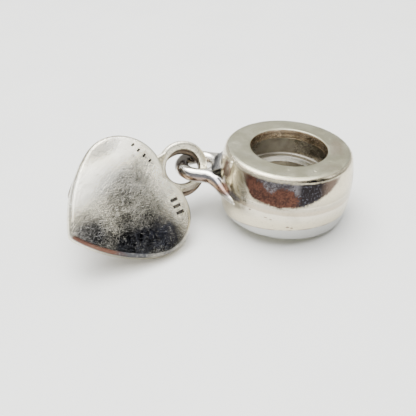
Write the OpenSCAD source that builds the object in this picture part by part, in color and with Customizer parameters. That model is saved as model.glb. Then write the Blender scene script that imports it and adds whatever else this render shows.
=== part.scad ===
// Double heart pendant: a short barrel bead that slides on a bracelet, with a bail ring soldered to
// its side, and two cast hearts that hang together on that ring.
// Millimetres. Origin at the middle of the bead's bore, +Z up as the pendant lies on a table,
// the bail ring toward -X. The surface it lies on is 2.52 below the origin.

/* [Bead] */
// Length of the bead along its bore
bead_len = 4.4; // [4:0.1:5]
// Radius of the bore, measured on its two end flanges and its middle rib
bore_r = 2.4; // [2.2:0.05:2.6]
// Radius of the barrel at mid-length
barrel_r = 4.22; // [4.1:0.02:4.3]
// Radius that the crowned side reaches at the end faces, before the corner is rounded
end_r = 3.92; // [3.85:0.01:3.98]
// Radius of the rounded corner between the side and an end face
end_corner_r = 0.4; // [0.3:0.01:0.45]
// Length of the plain flange at each end of the bore
flange_len = 0.65; // [0.5:0.05:0.8]
// Length of the narrow rib in the middle of the bore
rib_len = 0.4; // [0.3:0.05:0.6]
// Radius of the two wide grooves inside the bore
groove_r = 2.82; // [2.7:0.02:2.95]
// Width of the small chamfer where the bore meets an end face
bore_chamfer = 0.08; // [0.04:0.01:0.12]

/* [Bail ring] */
// Radius of the bail ring, to the middle of its wire
ring_r = 1.186; // [1.17:0.002:1.2]
// Radius of the bail ring's wire
ring_wire_r = 0.45; // [0.42:0.01:0.46]
// Distance from the bore's axis to the middle of the bail ring
ring_reach = 5.6; // [5.58:0.01:5.62]
// Height of the foot's upper edge where it meets the barrel, over mid-length
foot_top = 2; // [1.8:0.02:2.05]
// Depth of the foot's lower edge where it meets the barrel, under mid-length
foot_low = 0.85; // [0.75:0.05:1]
// Half width of the soldered foot where it meets the barrel
foot_half_w = 2.6; // [2.4:0.05:2.7]
// Distance from the bore's axis to the outer end of the foot
foot_reach = 4.62; // [4.6:0.02:4.7]

/* [Hearts] */
// Distance from the front heart's tip to the centres of its lobes, along the heart
lobe_u = 4.87; // [4.8:0.01:4.9]
// Distance from the front heart's centre line to the centre of a lobe
lobe_v = 1.43; // [1.38:0.01:1.46]
// Radius of the front heart's lobes
lobe_r = 2.61; // [2.55:0.01:2.64]
// Radius of the long curved sides that run to the tip
side_r = 8.21; // [8:0.01:8.4]
// Radius of the front heart's softly rounded tip
tip_r = 0.5; // [0.4:0.01:0.6]
// Thickness of a heart at its edge
heart_th = 0.8; // [0.75:0.01:0.8]
// Height of the soft dome on a heart's face above its edge
dome_h = 0.3; // [0.1:0.01:0.32]
// Size of the back heart's outline beside the front heart's
back_scale = 0.8; // [0.76:0.01:0.8]

/* [Hanging loops] */
// Thickness of the front heart's loop
front_loop_th = 0.5; // [0.46:0.01:0.52]
// Thickness of the back heart's loop
back_loop_th = 0.44; // [0.4:0.01:0.46]
// Radius of the hole in the front heart's loop
front_hole_r = 1.12; // [1.11:0.01:1.14]
// Width of the metal round the front loop's hole
front_band = 0.54; // [0.5:0.01:0.55]
// Radius of the hole in the back heart's loop
back_hole_r = 1.25; // [1.24:0.01:1.26]
// Width of the metal round the back loop's hole
back_band = 0.4; // [0.38:0.01:0.41]
// Distance from the front heart's tip to the middle of its loop
front_loop_u = 8.8; // [8.78:0.01:8.82]
// Distance from the back heart's tip to the middle of its loop
back_loop_u = 7.4; // [7.38:0.01:7.42]
// How far the front heart's loop lies behind the middle of its plate
front_loop_back = 0.33; // [0.31:0.01:0.35]
// How far the front heart's loop lies to one side of its centre line
front_loop_side = -0.06; // [-0.08:0.01:-0.04]
// How far the back heart's loop lies in front of the middle of its plate
back_loop_front = 0.36; // [0.34:0.01:0.38]
// How far the back heart's loop lies to one side of its centre line
back_loop_side = -0.18; // [-0.2:0.01:-0.16]
// Twist of the front heart's loop against its plate, about the heart's length
front_twist = 23.9; // [23:0.1:25]
// Forward bend of the front heart's loop against its plate
front_bend = 17; // [16:0.1:18]
// Twist of the back heart's loop against its plate
back_twist = 30.1; // [29:0.1:31]
// Backward bend of the back heart's loop against its plate
back_bend = -3.9; // [-5:0.1:-3]

/* [Hidden] */

half_len = bead_len / 2;
eps = 0.01;
big = 12;
side_steps = 9;
lobe_steps = 18;
tip_steps = 4;
// How far one step of a neck reaches into the next.
neck_lap = 0.2;

// The pendant lies with its bail ring held up a little by the stacked hearts: the bead leans by
// bead_tilt about a level line that is bead_turn round from the Y axis.
bead_tilt = 5;
bead_turn = 30;

// Where each heart lies: its tip, then its turns about X, Y and Z.
front_tip = [-11.456, -8.108, 0.255];
front_turn = [44.52, -6.68, 52.57];
back_tip = [-12.912, -4.587, 0.655];
back_turn = [44.13, 5.24, 33.09];

// Barrel side: one arc through the middle radius and the two end radii.
crown = barrel_r - end_r;
crown_r = (pow(half_len, 2) + pow(crown, 2)) / (2 * crown);
crown_x = barrel_r - crown_r;
// Corner circle, touching the crowned side inside and the end face.
corner_z = half_len - end_corner_r;
corner_x = crown_x + sqrt(pow(crown_r - end_corner_r, 2) - pow(corner_z, 2));
// Height where the crowned side runs into the corner circle.
meet_z = corner_z * crown_r / (crown_r - end_corner_r);

wall_colour = [0.72, 0.71, 0.68];
heart_colour = [0.78, 0.77, 0.74];
back_colour = [0.6, 0.59, 0.57];

// Outline of a heart with its tip at the origin and its lobes toward +X, one side of the centre line:
// a lobe circle of radius r1 about c1, and a side arc of radius r2 that starts at the tip and runs
// into the lobe circle without a corner.
function lobe_centre(s) = [lobe_u * s, lobe_v * s];
function side_centre(s) =
    let (c1 = lobe_centre(s), d = norm(c1), r1 = lobe_r * s, r2 = side_r * s,
         a = (pow(r2, 2) - pow(r2 - r1, 2) + d * d) / (2 * d),
         h = sqrt(r2 * r2 - a * a), e = c1 / d)
    [e[0] * a + e[1] * h, e[1] * a - e[0] * h];
// Where the lobes meet on the centre line.
function cleft_u(s) = lobe_u * s + sqrt(pow(lobe_r * s, 2) - pow(lobe_v * s, 2));

// One side of a heart's outline, drawn in by d all round: round the tip, up the side arc, round the
// lobe, and to the centre line at the cleft.
function half_outline(s, d) =
    let (c1 = lobe_centre(s), c2 = side_centre(s), r1 = lobe_r * s - d, r2 = side_r * s - d,
         rt = tip_r * (s - d / 1.8), ut = c2[0] - sqrt(pow(r2 - rt, 2) - c2[1] * c2[1]),
         from = atan2(-c2[1], ut - c2[0]), meet = atan2(c1[1] - c2[1], c1[0] - c2[0]),
         open = r1 < c1[1], last = open ? -90 : -asin(c1[1] / r1))
    concat(
        [for (i = [0 : tip_steps - 1]) let (a = 180 + (from - 180) * i / tip_steps)
            [ut + rt * cos(a), rt * sin(a)]],
        [for (i = [0 : side_steps - 1]) let (a = from + (meet - from) * i / side_steps)
            c2 + r2 * [cos(a), sin(a)]],
        [for (i = [0 : lobe_steps - 1]) let (a = meet + (last - meet) * i / lobe_steps)
            c1 + r1 * [cos(a), sin(a)]],
        [[c1[0] + (open ? 0 : sqrt(r1 * r1 - c1[1] * c1[1])), 0]]);

// The whole outline at height z: one side, then the other in reverse without the shared points.
function ring(s, d, z) =
    let (h = half_outline(s, d), n = len(h))
    concat([for (p = h) [p[0], p[1], z]],
           [for (i = [n - 2 : -1 : 1]) [h[i][0], -h[i][1], z]]);

// Closed body through a list of rings with equally many points, from the top ring to the last one.
module loft(rings) {
    n = len(rings[0]);
    m = len(rings);
    polyhedron(
        points = [for (r = rings) each r],
        faces = concat(
            [[for (i = [0 : n - 1]) i]],
            [for (j = [0 : m - 2], i = [0 : n - 1]) let (k = (i + 1) % n)
                each [[j * n + i, (j + 1) * n + i, (j + 1) * n + k],
                      [j * n + i, (j + 1) * n + k, j * n + k]]],
            [[for (i = [n - 1 : -1 : 0]) (m - 1) * n + i]]));
}

// Heart plate: front edge at height 0, back face at -heart_th, softly domed front, rounded edges.
// Each row: height of the ring, and how far its outline is drawn in.
module plate(s) {
    rows = [
        [dome_h, 1.7 * s],
        [dome_h * 0.85, 1.1 * s],
        [dome_h * 0.5, 0.55 * s],
        [0, 0.22],
        [-0.08, 0.07],
        [-0.22, 0],
        [0.2 - heart_th, 0],
        [0.07 - heart_th, 0.05],
        [-heart_th, 0.17],
    ];
    loft([for (row = rows) ring(s, row[1], row[0])]);
}

// A loop is given as [hole radius, band width, place along the heart, place across it, height over
// the middle of the plate, twist, bend, thickness].
module on_loop(l) {
    translate([l[2], l[3], l[4] - heart_th / 2]) rotate([l[5], 0, 0]) rotate([0, l[6], 0]) children();
}

// Neck that fills the cleft and runs up both sides of the loop, turning with it in n steps, with
// half width w at the plate.
module neck(s, l, w, n) {
    start = [cleft_u(s) - 0.45, 0, -heart_th / 2];
    way = [l[2] - 0.4, l[3], l[4] - heart_th / 2] - start;
    reach = norm(way);
    th = l[7] * 0.94;
    difference() {
        translate(start) rotate([0, 0, atan2(way[1], way[0])]) rotate([0, -asin(way[2] / reach), 0])
            for (k = [0 : n - 1])
                translate([reach * k / n, 0, 0]) rotate([l[5] * (k + 0.5) / n, 0, 0])
                    translate([0, -w + 0.24 * k / n, -th / 2])
                        cube([reach / n + neck_lap, 2 * w - 0.48 * k / n, th]);
        on_loop(l) cylinder(r = l[0] + l[1] * 0.5, h = big, center = true, $fn = 72);
    }
}

// Cross-section of a loop's metal: a bar with rounded corners.
module band_section(hole_r, band, th) {
    r = 0.17;
    translate([hole_r, 0]) {
        translate([0, -(th / 2 - r)]) square([band, th - 2 * r]);
        translate([r, -th / 2]) square([band - 2 * r, th]);
        for (x = [r, band - r], y = [-1, 1])
            translate([x, y * (th / 2 - r)]) circle(r = r, $fn = 32);
    }
}

module loop_eye(l) {
    on_loop(l) rotate_extrude($fn = 72) band_section(l[0], l[1], l[7]);
}

module heart(s, l, w, n) {
    plate(s);
    neck(s, l, w, n);
    loop_eye(l);
}

// Side profile of the barrel wall, from the bore out, with rounded outer corners.
module barrel_section() {
    difference() {
        union() {
            intersection() {
                translate([crown_x, 0]) circle(r = crown_r, $fn = 360);
                translate([bore_r, -meet_z]) square([big, 2 * meet_z]);
            }
            translate([bore_r, -half_len]) square([corner_x - bore_r, bead_len]);
            for (y = [-1, 1])
                translate([corner_x, y * corner_z]) circle(r = end_corner_r, $fn = 48);
        }
        groove_len = (bead_len - 2 * flange_len - rib_len) / 2;
        for (y = [-1, 1])
            translate([bore_r - eps, y > 0 ? rib_len / 2 : -rib_len / 2 - groove_len])
                square([groove_r - bore_r + eps, groove_len]);
        for (y = [-1, 1])
            polygon([[bore_r - eps, y * (half_len + eps)],
                     [bore_r + bore_chamfer + eps, y * (half_len + eps)],
                     [bore_r - eps, y * (half_len - bore_chamfer - eps)]]);
    }
}

// Bail ring of round wire, with two straight legs that run on into the foot.
module bail_ring() {
    translate([-ring_reach, 0, 0]) {
        rotate_extrude($fn = 72) translate([ring_r, 0]) circle(r = ring_wire_r, $fn = 36);
        for (y = [-1, 1])
            translate([0, y * ring_r, 0]) rotate([0, 90, 0]) cylinder(r = ring_wire_r - 0.01, h = 1.4, $fn = 36);
    }
}

// Disc whose rim passes through two points, on the left of the way from the first to the second,
// and reaches past the straight way by sag.
module bulge(p, q, sag) {
    way = q - p;
    run = norm(way);
    r = run * run / (8 * sag) + sag / 2;
    translate((p + q) / 2 + [-way[1], way[0]] * (r - sag) / run) circle(r = r, $fn = 180);
}

// Side view of the foot: tall at the barrel, hollowed above and below, wire high at its outer end.
module foot_side() {
    thin = ring_wire_r * 0.9;
    difference() {
        translate([-foot_reach, -foot_low]) square([foot_reach - bore_r - 1, foot_top + foot_low]);
        bulge([-foot_reach, thin], [-bore_r - 0.9, foot_top], 0.15);
        bulge([-foot_reach + 0.9, -foot_low], [-foot_reach, -thin], 0.08);
    }
}

// Plan of the foot: wide at the barrel, hollowed at both sides toward the ring.
module foot_plan() {
    scoop_r = 1.4;
    difference() {
        translate([-foot_reach, -foot_half_w]) square([foot_reach - bore_r - 0.7, 2 * foot_half_w]);
        for (y = [-1, 1])
            translate([-foot_reach - 0.1, y * (ring_r + 0.37 + scoop_r)]) circle(r = scoop_r, $fn = 120);
    }
}

// Soldered foot. Its outer end stops short of the ring's hole, and its inner side stays in the wall.
module foot() {
    difference() {
        intersection() {
            rotate([90, 0, 0]) translate([0, 0, -big / 2]) linear_extrude(height = big) foot_side();
            translate([0, 0, -big / 2]) linear_extrude(height = big) foot_plan();
        }
        translate([-ring_reach, 0, 0]) cylinder(r = ring_r - 0.15, h = big, center = true, $fn = 72);
        cylinder(r = groove_r + 0.2, h = big, center = true, $fn = 144);
    }
}

module carrier_bead() {
    color(wall_colour)
        rotate([0, 0, bead_turn]) rotate([0, bead_tilt, 0]) rotate([0, 0, -bead_turn]) {
            rotate_extrude($fn = 144) barrel_section();
            bail_ring();
            foot();
        }
}

module front_heart() {
    color(heart_colour)
        translate(front_tip) rotate(front_turn)
            heart(1, [front_hole_r, front_band, front_loop_u, -front_loop_side, -front_loop_back,
                      front_twist, -front_bend, front_loop_th], 1.7, 6);
}

module back_heart() {
    color(back_colour)
        translate(back_tip) rotate(back_turn)
            heart(back_scale, [back_hole_r, back_band, back_loop_u, -back_loop_side, back_loop_front,
                               back_twist, back_bend, back_loop_th], 1.35, 4);
}

carrier_bead();
front_heart();
back_heart();
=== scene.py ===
"""Double heart pendant: a barrel bead with a soldered bail ring that carries two cast silver hearts."""

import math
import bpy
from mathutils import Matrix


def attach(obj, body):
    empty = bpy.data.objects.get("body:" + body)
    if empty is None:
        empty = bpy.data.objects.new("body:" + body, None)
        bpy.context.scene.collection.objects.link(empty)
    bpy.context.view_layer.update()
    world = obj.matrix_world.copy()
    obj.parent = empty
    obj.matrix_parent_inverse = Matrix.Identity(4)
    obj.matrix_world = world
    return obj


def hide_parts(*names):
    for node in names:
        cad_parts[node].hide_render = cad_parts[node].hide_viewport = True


bl_info = {
    "name": "Double heart pendant",
    "version": (1, 0, 0),
    "blender": (4, 5, 0),
    "location": "3D Viewport > Sidebar > Pendant",
    "description": "Builds a silver bead charm with two hanging hearts, its worn finish and a plain stage",
    "category": "Add Mesh",
}

from collections import namedtuple

import bmesh
import bpy
from bpy.props import FloatProperty, FloatVectorProperty, IntProperty, PointerProperty
from mathutils import Euler, Matrix, Vector

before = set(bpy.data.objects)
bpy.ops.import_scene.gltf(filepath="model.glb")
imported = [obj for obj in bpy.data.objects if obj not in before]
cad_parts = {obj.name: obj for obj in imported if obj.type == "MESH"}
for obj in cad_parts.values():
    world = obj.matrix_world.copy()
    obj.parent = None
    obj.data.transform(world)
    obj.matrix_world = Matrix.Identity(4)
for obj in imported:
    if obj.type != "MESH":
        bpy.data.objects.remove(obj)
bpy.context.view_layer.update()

MM = 0.001


# Sizes and colours a user may change.


def length(name, about, millimetres):
    return FloatProperty(
        name=name, description=about, default=millimetres * MM, unit="LENGTH", subtype="DISTANCE", precision=5
    )


def turn(name, about, degrees):
    return FloatProperty(
        name=name, description=about, default=math.radians(degrees), unit="ROTATION", subtype="ANGLE"
    )


def colour(name, about, rgb):
    return FloatVectorProperty(
        name=name, description=about, default=rgb, size=3, min=0.0, max=1.0, subtype="COLOR"
    )


def factor(name, about, value, top=1.0):
    return FloatProperty(name=name, description=about, default=value, min=0.0, max=top, subtype="FACTOR")


class PENDANT_PG_bead(bpy.types.PropertyGroup):
    bead_length: length("Length", "Length of the bead along its bore", 4.4)
    bore_radius: length("Bore radius", "Radius of the bore on its flanges and rib", 2.4)
    barrel_radius: length("Barrel radius", "Radius of the barrel at mid-length", 4.22)
    end_radius: length("End radius", "Radius that the crowned side reaches at the end faces", 3.92)
    corner_radius: length("Corner radius", "Rounding between side and end face", 0.4)
    groove_radius: length("Groove radius", "Radius of the two grooves in the bore", 2.82)
    flange_length: length("Flange length", "Length of the flange at each end of the bore", 0.65)
    rib_length: length("Rib length", "Length of the rib in the middle of the bore", 0.4)
    bore_chamfer: length("Bore chamfer", "Chamfer where the bore meets an end face", 0.08)
    ring_radius: length("Ring radius", "Radius of the bail ring to the middle of its wire", 1.186)
    wire_radius: length("Wire radius", "Radius of the bail ring's wire", 0.45)
    ring_reach: length("Ring reach", "Distance from the bore's axis to the middle of the bail ring", 5.6)
    foot_top: length("Foot top", "Height of the foot's upper edge at the barrel", 2.0)
    foot_low: length("Foot low", "Depth of the foot's lower edge at the barrel", 0.85)
    foot_half_width: length("Foot half width", "Half width of the soldered foot at the barrel", 2.6)
    foot_reach: length("Foot reach", "Distance from the bore's axis to the foot's outer end", 4.62)
    lean: turn("Lean", "How far the bead leans with its bail ring held up", 5.0)
    lean_turn: turn("Lean direction", "Direction of the level line that the bead leans about", 30.0)


class PENDANT_PG_hearts(bpy.types.PropertyGroup):
    lobe_along: length("Lobe place along", "Distance from the tip to the lobe centres along the heart", 4.87)
    lobe_across: length("Lobe place across", "Distance from the centre line to a lobe centre", 1.43)
    lobe_radius: length("Lobe radius", "Radius of the lobes", 2.61)
    side_radius: length("Side radius", "Radius of the long curved sides", 8.21)
    thickness: length("Thickness", "Thickness of a heart at its edge", 0.8)
    dome: length("Dome", "Height of the soft dome on the front face", 0.3)
    front_edge: length("Front edge", "Rounding of the front edge", 0.22)
    back_edge: length("Back edge", "Rounding of the back edge", 0.17)
    tip_radius: length("Tip radius", "Radius of the softly rounded tip", 0.5)
    loop_edge: length("Loop edge", "Rounding of a hanging loop's edges", 0.17)
    back_scale: factor("Back heart size", "Size of the back heart beside the front heart", 0.8, 2.0)
    outline_steps: IntProperty(
        name="Outline steps", description="Points on half of a heart's outline", default=150, min=24, max=400
    )


class PENDANT_PG_silver(bpy.types.PropertyGroup):
    bright: colour("Polished silver", "Colour of clean worn silver", (0.87, 0.81, 0.64))
    olive: colour("Satin silver", "Colour of the duller, yellowed silver", (0.53, 0.52, 0.43))
    brown: colour("Brown tarnish", "Colour of warm brown tarnish", (0.14, 0.075, 0.055))
    slate: colour("Slate tarnish", "Colour of blue-grey tarnish", (0.16, 0.15, 0.17))
    black: colour("Black tarnish", "Colour of the darkest tarnish", (0.02, 0.017, 0.018))
    polish: factor("Polish roughness", "Roughness of the polished silver", 0.1)


class PENDANT_PG_stage(bpy.types.PropertyGroup):
    floor_colour: colour("Floor", "Colour of the plain floor", (0.94, 0.945, 0.93))
    floor_height: length("Floor height", "Height of the floor in the pendant's frame", -2.515)
    sky: factor("Sky", "Brightness of the soft light from all round", 1.04, 4.0)
    lamp_power: FloatProperty(
        name="Lamp power", description="Power of the soft lamp above", default=0.17, min=0.0, unit="POWER"
    )
    lens: FloatProperty(
        name="Lens", description="Focal length in millimetres", default=51.92, min=10.0, max=200.0
    )


GROUPS = (
    ("pendant_bead", PENDANT_PG_bead),
    ("pendant_hearts", PENDANT_PG_hearts),
    ("pendant_silver", PENDANT_PG_silver),
    ("pendant_stage", PENDANT_PG_stage),
)


class Sizes:
    """The settings of a group as plain numbers, with lengths in millimetres."""

    def __init__(self, settings):
        for name, kind in type(settings).__annotations__.items():
            value = getattr(settings, name)
            setattr(self, name, value / MM if kind.keywords.get("unit") == "LENGTH" else value)


# Mesh helpers, in millimetres.


def new_piece(name, points, faces):
    """A piece from points and faces, with points in one place merged and all faces turned outward."""
    mesh = bpy.data.meshes.new(name)
    mesh.from_pydata([[c * MM for c in p] for p in points], [], faces)
    work = bmesh.new()
    work.from_mesh(mesh)
    bmesh.ops.remove_doubles(work, verts=work.verts, dist=0.0002 * MM)
    bmesh.ops.recalc_face_normals(work, faces=work.faces)
    work.to_mesh(mesh)
    work.free()
    piece = bpy.data.objects.new(name, mesh)
    bpy.context.scene.collection.objects.link(piece)
    return piece


def tube_of_rings(rings, closed=False):
    """Points and faces of a skin over rings of equally many points. Open ends are capped."""
    count = len(rings[0])
    points = [p for ring in rings for p in ring]
    faces = []
    for j in range(len(rings) if closed else len(rings) - 1):
        a, b = j * count, ((j + 1) % len(rings)) * count
        for i in range(count):
            k = (i + 1) % count
            faces.append((a + i, b + i, b + k, a + k))
    if not closed:
        faces.append(tuple(range(count)))
        faces.append(tuple(range(len(points) - 1, len(points) - 1 - count, -1)))
    return points, faces


def spun(section, steps):
    """A closed section of (radius, height) points turned once round the upright axis."""
    rings = []
    for j in range(steps):
        a = 2 * math.pi * j / steps
        rings.append([(r * math.cos(a), r * math.sin(a), z) for r, z in section])
    return tube_of_rings(rings, closed=True)


def arc(cx, cy, radius, start, stop, steps):
    """Points on an arc round (cx, cy), between two angles in degrees."""
    angles = [math.radians(start + (stop - start) * i / steps) for i in range(steps + 1)]
    return [(cx + radius * math.cos(a), cy + radius * math.sin(a)) for a in angles]


def rounded_box(left, right, low, high, radius, steps):
    """Section of a box with rounded corners."""
    left, right, low, high = left + radius, right - radius, low + radius, high - radius
    corners = ((right, high), (left, high), (left, low), (right, low))
    return [p for k, (x, y) in enumerate(corners) for p in arc(x, y, radius, 90 * k, 90 * k + 90, steps)]


def apply_modifiers(piece):
    """Makes the shape that a piece's modifiers give its own mesh."""
    bpy.context.view_layer.update()
    seen = piece.evaluated_get(bpy.context.evaluated_depsgraph_get())
    made = bpy.data.meshes.new_from_object(seen)
    piece.modifiers.clear()
    old, piece.data = piece.data, made
    bpy.data.meshes.remove(old)
    if len(made.polygons) == 0:
        raise RuntimeError("the modifiers of %s left nothing" % piece.name)


def fuse(base, others, way="UNION"):
    """Joins closed pieces into one closed skin, or cuts them out of it, and removes the other ones."""
    for other in others:
        join = base.modifiers.new("join", "BOOLEAN")
        join.operation = way
        join.solver = "EXACT"
        join.object = other
        apply_modifiers(base)
        bpy.data.objects.remove(other)


def blend_skin(piece, voxel, rounds):
    """Rebuilds a piece of overlapping parts as one even skin with soft inner corners."""
    skin = piece.modifiers.new("skin", "REMESH")
    skin.mode = "VOXEL"
    skin.voxel_size = voxel * MM
    soft = piece.modifiers.new("soft", "SMOOTH")
    soft.factor = 0.5
    soft.iterations = rounds
    apply_modifiers(piece)


def clean_skin(mesh):
    """Merges points in one place, cuts the skin into triangles and drops those that lie back to back."""
    work = bmesh.new()
    work.from_mesh(mesh)
    nearest = 0.0005 * MM
    bmesh.ops.remove_doubles(work, verts=work.verts, dist=nearest)
    bmesh.ops.dissolve_degenerate(work, edges=work.edges, dist=nearest)
    bmesh.ops.triangulate(work, faces=work.faces)
    work.verts.index_update()
    same_corners = {}
    for face in work.faces:
        same_corners.setdefault(frozenset(v.index for v in face.verts), []).append(face)
    doubled = [face for faces in same_corners.values() if len(faces) > 1 for face in faces]
    bmesh.ops.delete(work, geom=doubled, context="FACES")
    work.to_mesh(mesh)
    work.free()


def settle(piece, spot, turns):
    """Moves a piece's mesh to its place in millimetres, turned by three angles in radians."""
    piece.data.transform(Matrix.Translation(Vector(spot) * MM) @ Euler(turns, "XYZ").to_matrix().to_4x4())


def finish_piece(piece, replaced, material, crease):
    """Gives a piece its material and puts it in the place of a node. Edges over crease degrees stay sharp."""
    mesh = piece.data
    mesh.name = piece.name
    clean_skin(mesh)
    for face in mesh.polygons:
        face.use_smooth = True
        face.material_index = 0
    mesh.set_sharp_from_angle(angle=math.radians(crease))
    mesh.materials.clear()
    mesh.materials.append(material)
    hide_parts(replaced)
    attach(piece, "root")


# Shapes of the bead.


def groove_section(bore, groove, top, bottom):
    """Wall of a groove in the bore, from its top to its bottom, with softened corners."""
    soft, drawn_in = 0.06, 0.02
    return [
        (bore, top + soft * 0.6),
        (bore + soft * 0.4, top),
        (groove - soft, top - drawn_in),
        (groove, top - soft * 1.4),
        (groove, (top + bottom) / 2),
        (groove, bottom + soft * 1.4),
        (groove - soft, bottom + drawn_in),
        (bore + soft * 0.4, bottom),
        (bore, bottom - soft * 0.6),
    ]


def barrel_section(b):
    """Wall of the bead as (radius, height) points, once round the section."""
    half, bore, corner, cut = b.bead_length / 2, b.bore_radius, b.corner_radius, b.bore_chamfer
    crown = b.barrel_radius - b.end_radius
    crown_r = (half**2 + crown**2) / (2 * crown)
    crown_x = b.barrel_radius - crown_r
    corner_z = half - corner
    corner_x = crown_x + math.sqrt((crown_r - corner) ** 2 - corner_z**2)
    lift = math.degrees(math.atan2(corner_z, corner_x - crown_x))

    side = arc(crown_x, 0, crown_r, -lift, lift, 28)
    upper = arc(corner_x, corner_z, corner, lift, 90, 10)[1:]
    upper += [(corner_x - (corner_x - bore - cut) * t, half) for t in (0.25, 0.5, 0.75, 0.93, 1.0)]
    upper += [(bore + cut * 0.35, half - cut * 0.3), (bore, half - cut)]
    upper += groove_section(bore, b.groove_radius, half - b.flange_length, b.rib_length / 2)
    return side + upper + [(r, -z) for r, z in reversed(upper)]


def bail_ring(b):
    """Ring of round wire that stands off the barrel's side."""
    wire_steps, ring_steps = 40, 128
    points, faces = spun(arc(b.ring_radius, 0, b.wire_radius, 0, 360, wire_steps)[:-1], ring_steps)
    return [(x - b.ring_reach, y, z) for x, y, z in points], faces


def disc_through(p, q, sag):
    """Middle and radius of a circle through p and q, on the left of the way, reaching past it by sag."""
    way = (q[0] - p[0], q[1] - p[1])
    run = math.hypot(*way)
    r = run * run / (8 * sag) + sag / 2
    shift = (r - sag) / run
    return (p[0] + q[0]) / 2 - way[1] * shift, (p[1] + q[1]) / 2 + way[0] * shift, r


def solder_web(b):
    """Web between barrel and ring, hollowed above, below and beside, with softly rounded edges."""
    reach, top, low = b.foot_reach, b.foot_top, b.foot_low
    wall, thin = 0.7, b.wire_radius * 0.9
    upper_start, upper_sag = -b.bore_radius - 0.9, 0.15
    lower_run, lower_sag = 0.9, 0.08
    scoop, scoop_gap, scoop_start, trim = 1.4, 0.37, 0.1, 0.12
    first_corner, corner_loss, last_corner = 0.34, 0.3, 0.1
    above_x, above_z, above_r = disc_through((-reach, thin), (upper_start, top), upper_sag)
    below_x, below_z, below_r = disc_through((-reach + lower_run, -low), (-reach, -thin), lower_sag)
    scoop_y = b.ring_radius + scoop_gap + scoop
    root = -b.bore_radius - wall
    steps = 30
    rings = []
    for i in range(steps + 1):
        x = -reach + (root + reach) * i / steps
        high = min(top, above_z - math.sqrt(max(0.0, above_r**2 - (x - above_x) ** 2)))
        deep = max(-low, below_z + math.sqrt(max(0.0, below_r**2 - (x - below_x) ** 2)))
        away = min(scoop, x + reach + scoop_start)
        wide = min(b.foot_half_width, scoop_y - math.sqrt(scoop**2 - away**2)) - trim
        corner = max(last_corner, first_corner - corner_loss * i / steps)
        rings.append([(x, y, z) for y, z in rounded_box(-wide, wide, deep, high, corner, 5)])
    return tube_of_rings(rings)


def bent_rod(path, radii, steps=10, round_steps=20):
    """Tapering round rod along a smooth way through the points of path."""
    points = [Vector(p) for p in path]
    last = len(points) - 1
    ways = [(points[min(last, i + 1)] - points[max(0, i - 1)]) * 0.5 for i in range(last + 1)]
    circle = [2 * math.pi * j / round_steps for j in range(round_steps)]
    up = Vector((0, 0, 1))
    rings = []
    for i in range(last):
        for k in range(steps + (i == last - 1)):
            t = k / steps
            h = (2 * t**3 - 3 * t**2 + 1, t**3 - 2 * t**2 + t, -2 * t**3 + 3 * t**2, t**3 - t**2)
            mid = points[i] * h[0] + ways[i] * h[1] + points[i + 1] * h[2] + ways[i + 1] * h[3]
            run = (points[i + 1] - points[i]).lerp(ways[i + 1] if t > 0.5 else ways[i], 0.5).normalized()
            side = run.cross(up).normalized()
            over = side.cross(run).normalized()
            r = radii[i] + (radii[i + 1] - radii[i]) * t
            rings.append([tuple(mid + side * (r * math.cos(a)) + over * (r * math.sin(a))) for a in circle])
    return tube_of_rings(rings)


# Way and radii of the rib that clasps the barrel, on the ring's left.
CLAW_PATH = (
    (-5.55, 1.186, 0), (-4.75, 1.2, 0), (-4.15, 1.66, -0.08), (-3.55, 2.42, -0.25), (-2.72, 3.1, -0.52)
)
CLAW_RADII = (0.445, 0.44, 0.39, 0.3, 0.12)


def solder_claw(side):
    """Rib that runs on from one leg of the ring and clasps the barrel."""
    return bent_rod([(x, y * side, z) for x, y, z in CLAW_PATH], CLAW_RADII)


# Shapes of a heart.


# Hanging loop, in millimetres and degrees: radius of its hole, width of its band, place of its middle along
# and across the heart and over the plate's mid-thickness, its twist and bend, and its thickness.
Loop = namedtuple("Loop", "hole band along across over twist bend thick")
FRONT_LOOP = Loop(1.12, 0.54, 8.8, 0.06, -0.33, 23.9, -17.0, 0.5)
BACK_LOOP = Loop(1.25, 0.4, 7.4, 0.18, 0.36, 30.1, -3.9, 0.44)

# Half widths of the necks at their plates.
FRONT_NECK, BACK_NECK = 1.7, 1.3


def lying(tip, *degrees):
    """Where a heart lies: its tip in millimetres, and its three turns in radians."""
    return tip, [math.radians(a) for a in degrees]


FRONT_PLACE = lying((-11.456, -8.108, 0.255), 44.52, -6.68, 52.57)
BACK_PLACE = lying((-12.912, -4.587, 0.655), 44.13, 5.24, 33.09)

# Soft dome on a full-size heart: its middle along the heart, and its half sizes along and across.
DOME_MIDDLE = 4.1
DOME_ALONG, DOME_ACROSS = 4.3, 4.4

# Curving of a heart's outline: inset at which the rounding of a full-size heart's tip is used up, and share
# of the outline's steps on its long side.
TIP_FADE, LONG_SIDE_SHARE = 1.8, 0.36

# Plate of a heart: insets of the rings on its front, and sizes of the ever smaller rings inside them.
FRONT_INSETS = (0.55, 0.42, 0.31)
FRONT_RINGS, BACK_RINGS = (0.06, 0.18, 0.32, 0.46, 0.6, 0.73, 0.85, 0.94), (0.94, 0.8, 0.5, 0.2)

# Bars punched into the front heart: place along and across it, half width, half length, turn in degrees.
PUNCH_MARKS = (
    (6.42, 2.74, 0.065, 0.14, 14),
    (6.52, 2.28, 0.065, 0.14, 14),
    (6.63, 1.82, 0.065, 0.14, 14),
    (6.74, 1.36, 0.065, 0.14, 14),
    (6.58, -1.46, 0.1, 0.27, -8),
    (6.52, -1.88, 0.1, 0.27, -8),
    (6.46, -2.3, 0.1, 0.27, -8),
)
PUNCH_DEPTH = 0.09


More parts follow.
